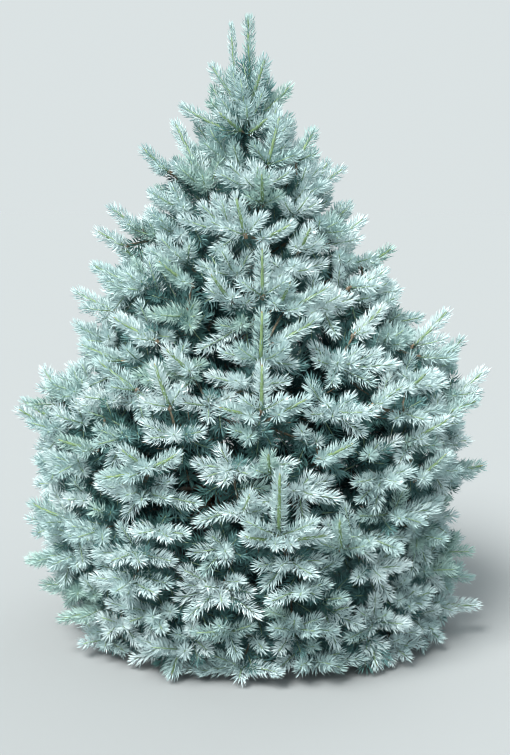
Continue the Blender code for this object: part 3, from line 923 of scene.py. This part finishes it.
# ------------------------------------------------------------------------- needles
TINTS = (
    # this year's, from the bluest to the greenest
    ("silver blue", srgb(207, 224, 226)), ("pale blue", srgb(199, 219, 221)),
    ("blue", srgb(191, 213, 214)), ("blue grey", srgb(180, 205, 206)),
    ("soft teal", srgb(169, 196, 195)), ("green blue", srgb(169, 197, 192)),
    # this year's inside the crown, darkened as painted shade, and last year's, darker partly by age and partly as
    # painted shade
    ("shade and year old blue", srgb(110, 150, 150)), ("shade and year old teal", srgb(92, 133, 132)),
    ("shade and year old green", srgb(80, 119, 116)),
    # older, inside the crown: darker partly by age and partly as painted shade
    ("old shaded teal", srgb(41, 75, 75)), ("old shaded green", srgb(35, 65, 65)),
    ("deep shade green", srgb(28, 54, 54)),
)


def needles_on(shoot, rng):
    """Corner points of one shoot's needles: the foot, two where it is widest and the tip."""
    old = min(shoot.age, 3)
    strong = shoot.kind in ("standout", "leader", "trunk")
    outer = shoot.age == 0 and shoot.kind != "inner"
    rate = (NEEDLES_PER_M if outer else INNER_PER_M) * shoot.dense * (1.0, 0.55, 0.36, 0.26)[old] / shoot.size
    n = max(8, int(rate * shoot.length))
    k = np.arange(n)
    u = ((k + rng.uniform(0.1, 0.9, n)) / n) ** (0.94 if old else 0.80)
    if old:
        u = 0.06 + 0.92 * u
    c = shoot.curve
    p = bezier(c, u)
    v = u[:, None]
    tangent = unit(3 * (1 - v) ** 2 * (c[1] - c[0]) + 6 * (1 - v) * v * (c[2] - c[1])
                   + 3 * v * v * (c[3] - c[2]))
    side = np.cross(tangent, UP)
    flat = np.linalg.norm(side, axis=1)
    side = unit(np.where(flat[:, None] > 0.05, side, np.cross(tangent, (1.0, 0.0, 0.0))))
    top = np.cross(side, tangent)
    phi = k * 2.399963 + rng.uniform(0, math.tau) + rng.normal(0.0, 0.25, n)
    cos, sin = np.cos(phi), np.sin(phi)
    sin = np.where(sin < 0.0, sin * (1.0 - 0.40 * flat), sin)
    radial = unit(side * cos[:, None] + top * sin[:, None])
    spread = np.interp(u, (0.0, 0.20, 0.72, 0.90, 1.0), SPREAD)
    alpha = np.radians(spread + rng.normal(0.0, 7.0, n)) * shoot.lean
    alpha = np.where(u > 0.93, alpha * rng.uniform(0.25, 1.25, n), alpha)
    curl = np.radians(CURL + rng.normal(0.0, 6.0, n))
    first = unit(tangent * np.cos(alpha)[:, None] + radial * np.sin(alpha)[:, None])
    beta = np.maximum(alpha - curl, 0.0)
    second = unit(tangent * np.cos(beta)[:, None] + radial * np.sin(beta)[:, None]
                  + UP * (0.16 * flat)[:, None])
    length = NEEDLE * np.interp(u, (0.0, 0.10, 0.6, 0.9, 1.0), (0.74, 0.94, 1.0, 0.98, 0.82))
    length = length * rng.normal(1.0, 0.08, n) * (1.0, 0.96, 0.92, 0.90)[old] * shoot.size
    a = unit(np.cross(first, radial) + 1e-6)
    b = np.cross(a, first)
    roll = rng.uniform(0.0, math.pi, n)[:, None]
    across = a * np.cos(roll) + b * np.sin(roll)
    thick = np.interp(u, (0, 1), shoot.thick)
    base = p + radial * (thick * 0.85)[:, None]
    middle = base + first * (length * 0.54)[:, None]
    tip = middle + second * (length * 0.46)[:, None]
    width = NEEDLE_WIDTH if outer else INNER_WIDTH
    half = width * (1.0, 1.15, 1.3, 1.4)[old] * shoot.size * rng.normal(1.0, 0.08, n)[:, None] / 2.0
    corners = np.stack((base, middle + across * half, middle - across * half, tip), 1)
    if strong:
        # Parted on the side that faces away from the trunk, so that the stem shows.
        out = unit(p * (1.0, 1.0, 0.0))
        facing = (radial * out).sum(1) * (1.0 - flat)
        corners = corners[(facing < 0.72) | (rng.uniform(0.0, 1.0, n) < 0.25)]
    return corners


def tint_of(shoot, rng):
    """Each spray has its own tint. Older wood carries darker needles, partly by age and partly as painted shade;
    shoots inside the crown and on the upper wood take darker tints as painted shade.
    """
    chance = rng.uniform()
    # Wood high in the crown: darker tints, as painted shade in its gaps.
    if shoot.kind == "upper":
        return 5 + int(chance * 4)
    # This year's shoots inside the crown: the darker tints, as painted shade.
    if shoot.age == 0 and shoot.kind == "inner":
        return 6 + int(chance * 3)
    if shoot.age == 0:
        # The crown's top is a little greener.
        greener = 1.4 * min(1.0, max(0.0, shoot.curve[3][2] - 0.95) / 0.35)
        tint = np.searchsorted(np.cumsum((0.16, 0.24, 0.26, 0.18, 0.10)), chance)
        return min(5, int(tint + greener + 0.5))
    # Last year's needles: darker partly by age and partly as painted shade.
    if shoot.age == 1:
        return 7 + int(chance * 3)
    # Older needles: darkest, partly by age and partly as painted shade.
    return 9 + int(min(2, shoot.age - 2 + (chance > 0.6)))


def make_needles():
    rng = np.random.default_rng(SEED + 1)
    spray_tint, rows, tints = {}, [], []
    for shoot in SHOOTS:
        key = (shoot.spray, min(shoot.age, 3), shoot.kind == "inner")
        if key not in spray_tint:
            spray_tint[key] = tint_of(shoot, rng)
        corners = needles_on(shoot, rng)
        tint = spray_tint[key]
        if shoot.age == 0 and shoot.kind != "inner" and rng.uniform() < 0.25:
            tint = int(np.clip(tint + rng.choice((-1, 1)), 0, 5))
        rows.append(corners)
        tints.append(np.full(len(corners), tint))
    # Shoots that close holes sit inside the crown and take darker tints, as painted shade.
    for shoot, corners in close_holes(rows, rng):
        rows.append(corners)
        tints.append(np.full(len(corners), tint_of(shoot, rng)))
    corners = np.concatenate(rows)
    tints = np.concatenate(tints)
    keep = ((corners[..., 2].min(1) > 0.0015) & (corners[..., 1].min(1) > FRONT_LIMIT)
            & (corners[..., 1].max(1) < BACK_LIMIT))
    corners, tints = corners[keep], tints[keep]
    blade = np.array(((0, 1, 2), (2, 1, 3)))
    order = np.argsort(tints, kind="stable")
    corners, tints = corners[order], tints[order]
    materials = [needle_material(f"needles {name}", colour) for name, colour in TINTS]
    per_piece = MOST_TRIANGLES // 2
    pieces = []
    for number, start in enumerate(range(0, len(corners), per_piece)):
        some = corners[start:start + per_piece]
        which = tints[start:start + per_piece]
        used = sorted(set(which.tolist()))
        index = np.searchsorted(used, which)
        tris = (np.arange(len(some))[:, None, None] * 4 + blade[None]).reshape(-1, 3)
        piece = mesh_piece(f"needles_{number + 1}", some.reshape(-1, 3), tris,
                           [materials[i] for i in used], np.repeat(index, 2), smooth=False)
        pieces.append(piece)
    foliage = [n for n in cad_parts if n.endswith("_needles") or "_foliage_" in n]
    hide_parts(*foliage)
    return pieces


# --------------------------------------------------------------------- twigs and bark
def make_twigs():
    """Wood of every age: green this year, brown last year, grey after."""
    looks = (
        bark_material("twig of this year", srgb(112, 144, 114), srgb(150, 176, 140), 300.0, 0.6, 0.2),
        bark_material("twig of last year", srgb(88, 82, 68), srgb(128, 118, 98), 240.0, 0.75, 0.3),
        bark_material("older twig", srgb(46, 46, 42), srgb(76, 74, 66), 200.0, 0.85, 0.4),
        bark_material("strong stem", srgb(98, 128, 86), srgb(140, 166, 116), 420.0, 0.6, 0.3),
    )
    kinds = {0: [], 1: [], 2: [], 3: []}
    for shoot in SHOOTS:
        if shoot.kind == "trunk":
            continue
        kind = min(shoot.age, 2)
        small = shoot.kind in ("side", "inner")
        strong = shoot.kind in ("standout", "leader")
        rings = (5 if strong else 3, 3, 4)[kind]
        sides = (6 if strong else 3 if small else 4, 4, 5)[kind]
        u = np.linspace(0.0, 1.0, rings)
        radii = np.interp(u, (0, 1), shoot.thick)
        path = bezier(shoot.curve, u)
        kinds[3 if strong else kind].append(tube(path, radii, sides))
    names = ("twigs_this_year", "twigs_last_year", "older_twigs", "strong_stems")
    for kind, parts in kinds.items():
        verts, tris = joined(parts)
        piece = mesh_piece(names[kind], verts, tris, [looks[kind]])
    # The ring of old bud scales that each strong shoot grew out of.
    knot = bark_material("old bud scales", srgb(104, 90, 74), srgb(168, 146, 122), 420.0, 0.8, 0.5)

    def scales(path, turn, r):
        return RNG.uniform(-0.0012, 0.0012, r.shape)

    parts = []
    for foot, way in KNOTS:
        path = foot + way * np.array((-0.0090, -0.0045, -0.0005, 0.0030, 0.0060))[:, None]
        parts.append(tube(path, (0.0030, 0.0044, 0.0052, 0.0050, 0.0036), 9, scales))
    verts, tris = joined(parts)
    piece = mesh_piece("shoot_knots", verts, tris, [knot])
    # A bud at the end of each of the strong shoots.
    look = bark_material("bud scales", srgb(150, 130, 92), srgb(188, 168, 122), 420.0, 0.6, 0.3)
    parts = []
    for shoot in SHOOTS:
        if shoot.kind not in ("standout", "leader"):
            continue
        end = shoot.curve[3]
        way = unit(shoot.curve[3] - shoot.curve[2])
        path = end + way * np.array((-0.0010, 0.0038))[:, None]
        parts.append(tube(path, (0.0018, 0.0007), 6))
    verts, tris = joined(parts)
    piece = mesh_piece("buds", verts, tris, [look])


def bark_relief(depth, scale):
    def relief(path, turn, r):
        made = np.zeros((len(path), len(turn)))
        for k, p in enumerate(path):
            for i, a in enumerate(turn):
                at = Vector((p[0] * scale + math.cos(a) * 1.6, p[1] * scale + math.sin(a) * 1.6,
                             p[2] * scale * 0.55))
                ridge = 1.0 - abs(noise.noise(at * 1.3)) * 2.2
                made[k, i] = (ridge * 0.6 + noise.noise(at * 3.7) * 0.5) * depth * min(1.0, r[k, 0] / 0.012)
        return made
    return relief


def make_wood():
    """The trunk and the bare part of each bough, with the bark's relief."""
    look = bark_material("spruce bark", srgb(60, 56, 50), srgb(108, 101, 90), 90.0, 0.9, 0.5)
    heights = SOIL_TOP + 0.0004 + (TREE_TOP - 0.006 - SOIL_TOP) * np.linspace(0, 1, 200) ** 1.1
    path = trunk_axis(heights)
    radii = trunk_radius(heights)

    def flared(path, turn, r):
        flare = TRUNK_FLARE * np.exp(-(path[:, 2] - SOIL_TOP) / TRUNK_FLARE_H)
        return (bark_relief(0.0012, 60.0)(path, turn, r)
                + flare[:, None] * (0.62 + 0.38 * np.cos(4.0 * turn + 0.7))[None, :])

    split = int(np.searchsorted(heights, 1.228))
    low = slice(0, split + 1)
    verts, tris = tube(path[low], radii[low], 40, flared)
    trunk = mesh_piece("bark_of_trunk", verts, tris, [look])
    # This year's leader is thinner than the wood that it grew from, green and smooth.
    green = bark_material("leader stem", srgb(98, 128, 86), srgb(140, 166, 116), 300.0, 0.6, 0.3)
    high = slice(split, None)
    slim = np.interp(heights[high], (1.226, 1.245, TREE_TOP), (0.96, 0.66, 0.72))
    verts, tris = tube(path[high], radii[high] * slim, 14)
    leader = mesh_piece("leader_stem", verts, tris, [green])
    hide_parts("trunk")
    parts, names = [], []
    for points, thick, name in BOUGHS:
        u = np.linspace(0, 1, len(points))
        fine = np.linspace(0, 1, 26)
        smooth = np.stack([np.interp(fine, u, points[:, i]) for i in range(3)], 1)
        for _ in range(3):
            smooth[1:-1] = (smooth[:-2] + 2 * smooth[1:-1] + smooth[2:]) / 4
        parts.append(tube(smooth, np.interp(fine, u, thick), 12, bark_relief(0.0008, 90.0)))
        names.append(name)
    verts, tris = joined(parts)
    boughs = mesh_piece("bark_of_boughs", verts, tris, [look])
    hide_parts(*names, "second_leader_stem")


# ------------------------------------------------------------------- tub and compost
def lathe(profile, sides):
    """A closed solid of revolution from a profile that starts and ends on the axis."""
    inner = profile[1:-1]
    turn = np.arange(sides) * math.tau / sides
    verts = [np.stack((r * np.cos(turn), r * np.sin(turn), np.full(sides, z)), 1) for r, z in inner]
    verts = np.concatenate(verts + [np.array([[0, 0, profile[0][1]], [0, 0, profile[-1][1]]])])
    i = np.arange(sides)
    j = (i + 1) % sides
    tris = []
    for k in range(len(inner) - 1):
        low, high = k * sides, (k + 1) * sides
        tris.append(np.stack((low + i, low + j, high + j), 1))
        tris.append(np.stack((low + i, high + j, high + i), 1))
    n = len(inner) * sides
    top = (len(inner) - 1) * sides
    tris.append(np.stack((np.full(sides, n), j, i), 1))
    tris.append(np.stack((np.full(sides, n + 1), top + i, top + j), 1))
    return verts, np.concatenate(tris)


def make_tub():
    under_rim = TUB_HEIGHT - TUB_RIM_H
    lean = (TUB_TOP_R - TUB_FOOT_R) / under_rim

    def wall(z):
        return TUB_FOOT_R + lean * z

    profile = [(0.0, 0.0), (TUB_FOOT_R - 0.030, 0.0), (TUB_FOOT_R - 0.006, 0.0),
               (TUB_FOOT_R - 0.0015, 0.0012), (TUB_FOOT_R, 0.005)]
    for middle in (0.045, 0.205):
        for k in range(9):
            w = k / 8.0
            profile.append((wall(middle - 0.010 + 0.020 * w) - 0.0016 * math.sin(math.pi * w),
                            middle - 0.010 + 0.020 * w))
    profile += [(wall(under_rim) - 0.0008, under_rim - 0.004), (TUB_TOP_R + 0.0012, under_rim)]
    for k in range(7):
        a = -math.pi / 2 + math.pi / 2 * k / 6.0
        profile.append((TUB_RIM_R - 0.005 + 0.005 * math.cos(a), under_rim + 0.005 + 0.005 * math.sin(a)))
    for k in range(9):
        a = math.pi / 2 * k / 8.0
        profile.append((TUB_RIM_R - 0.006 + 0.006 * math.cos(a), TUB_HEIGHT - 0.006 + 0.006 * math.sin(a)))
    inside_top = TUB_TOP_R - TUB_WALL
    inside_foot = TUB_FOOT_R - TUB_WALL + lean * TUB_FLOOR
    profile += [(inside_top + 0.002, TUB_HEIGHT), (inside_top + 0.0005, TUB_HEIGHT - 0.0008),
                (inside_top, TUB_HEIGHT - 0.003), (inside_foot + 0.004, TUB_FLOOR + 0.030),
                (inside_foot, TUB_FLOOR + 0.004), (inside_foot - 0.004, TUB_FLOOR), (0.0, TUB_FLOOR)]
    verts, tris = lathe(profile, 128)
    piece = mesh_piece("moulded_tub", verts, tris, [tub_material()])
    piece.data.set_sharp_from_angle(angle=math.radians(40.0))
    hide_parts("tub")


def make_compost():
    look = bark_material("damp compost", srgb(30, 25, 21), srgb(60, 49, 40), 70.0, 0.95, 0.8)
    chips = bark_material("bark chips", srgb(66, 50, 40), srgb(112, 88, 70), 60.0, 0.9, 0.6)
    lean = (TUB_TOP_R - TUB_FOOT_R) / (TUB_HEIGHT - TUB_RIM_H)
    low_r = TUB_FOOT_R - TUB_WALL + lean * TUB_FLOOR - 0.0012
    inner = (TUB_TOP_R - TUB_WALL - low_r) / (TUB_HEIGHT - 0.003 - TUB_FLOOR)
    edge_z = SOIL_TOP - SOIL_EDGE_DROP
    high_r = low_r + inner * (edge_z - TUB_FLOOR) - 0.0012
    profile = [(0.0, TUB_FLOOR + 0.0004), (low_r, TUB_FLOOR + 0.0004), (high_r, edge_z)]
    for k in range(1, 13):
        r = high_r * (1.0 - k / 13.0)
        profile.append((r, edge_z + SOIL_EDGE_DROP * min(1.0, (high_r - r) / (high_r - 0.058))))
    profile.append((0.0, SOIL_TOP))
    verts, tris = lathe(profile, 96)
    for v in verts:
        if v[2] > edge_z - 1e-4:
            v[2] += 0.0022 * (noise.noise(Vector(v) * 55.0) - 0.4)
    piece = mesh_piece("compost_bed", verts, tris, [look])
    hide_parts("compost")
    rng = np.random.default_rng(SEED + 2)
    parts = []
    cube = np.array([(x, y, z) for x in (-1, 1) for y in (-1, 1) for z in (-1, 1)], float)
    faces = np.array(((0, 1, 3), (0, 3, 2), (4, 6, 7), (4, 7, 5), (0, 4, 5), (0, 5, 1),
                      (2, 3, 7), (2, 7, 6), (0, 2, 6), (0, 6, 4), (1, 5, 7), (1, 7, 3)))
    for _ in range(420):
        r = high_r * math.sqrt(rng.uniform(0.06, 0.90))
        a = rng.uniform(0, math.tau)
        size = np.array((rng.uniform(0.006, 0.016), rng.uniform(0.003, 0.007), rng.uniform(0.0010, 0.0024)))
        body = cube * size * rng.uniform(0.72, 1.15, (8, 3))
        turn, tip = rng.uniform(0, math.tau), rng.normal(0, 0.25)
        c, s = math.cos(turn), math.sin(turn)
        body[:, 2] += body[:, 0] * math.sin(tip)
        body = np.stack((body[:, 0] * c - body[:, 1] * s, body[:, 0] * s + body[:, 1] * c, body[:, 2]), 1)
        body += (r * math.cos(a), r * math.sin(a), SOIL_TOP - 0.004 + rng.uniform(0, 0.004))
        far = np.hypot(body[:, 0], body[:, 1]).max()
        if far < high_r - 0.001 and np.hypot(body[:, 0], body[:, 1]).min() > 0.030:
            parts.append((body, faces))
    verts, tris = joined(parts)
    piece = mesh_piece("bark_chips", verts, tris, [chips], smooth=False)


# ----------------------------------------------------------- camera, light and floor
def make_stage():
    scene = bpy.context.scene
    camera = bpy.data.objects.new("camera", bpy.data.cameras.new("camera"))
    camera.location = (0.012, -2.6, 1.073)
    camera.rotation_euler = (math.radians(80.0), 0.0, 0.0)
    camera.data.sensor_width = 36.0
    camera.data.lens = 1100.0 / 755.0 * 36.0
    camera.data.clip_start = 0.05
    camera.data.clip_end = 120.0
    scene.collection.objects.link(camera)
    scene.camera = camera

    # The studio's own soft light, then two large lamps: strength, softness in degrees,
    # the way that it shines and its colour.
    studio, studio_colour = 0.80, np.array((0.885, 0.955, 0.965))
    lamps = (("key", 5.8, 26.0, (0.42, 0.60, -1.0), (1.0, 0.975, 0.945)),
             ("back", 0.6, 40.0, (-0.5, -0.8, -0.9), (0.96, 0.98, 1.0)))
    world = bpy.data.worlds.new("studio")
    world.use_nodes = True
    world.node_tree.nodes["Background"].inputs["Color"].default_value = (*studio_colour, 1.0)
    world.node_tree.nodes["Background"].inputs["Strength"].default_value = studio
    scene.world = world
    lit = studio * studio_colour
    for name, strength, softness, towards, colour in lamps:
        light = bpy.data.lights.new(name, "SUN")
        light.energy = strength
        light.angle = math.radians(softness)
        light.color = colour
        made = bpy.data.objects.new(name, light)
        made.rotation_euler = Vector(towards).to_track_quat("-Z", "Y").to_euler()
        scene.collection.objects.link(made)
        lit = lit - strength * Vector(towards).normalized().z / math.pi * np.array(colour)

    # A matt floor that looks as bright as the studio behind it, so that it shows no edge.
    made, nodes, links, shader = shader_of("pale floor")
    shader.inputs["Base Color"].default_value = (*(studio * studio_colour / lit), 1.0)
    shader.inputs["Specular IOR Level"].default_value = 0.0
    shader.inputs["Roughness"].default_value = 1.0
    half = 40.0
    floor = bpy.data.meshes.new("floor")
    floor.from_pydata([(-half, -half, 0), (half, -half, 0), (half, half, 0), (-half, half, 0)],
                      [], [(0, 1, 2, 3)])
    floor.materials.append(made)
    floor = bpy.data.objects.new("floor", floor)
    scene.collection.objects.link(floor)

    # Crisp: a narrow pixel filter. As crisp as the photograph.
    scene.cycles.filter_width = 1.0
    scene.view_settings.view_transform = "Standard"
    scene.view_settings.look = "None"


grow()
make_needles()
make_twigs()
make_wood()
make_tub()
make_compost()
make_stage()
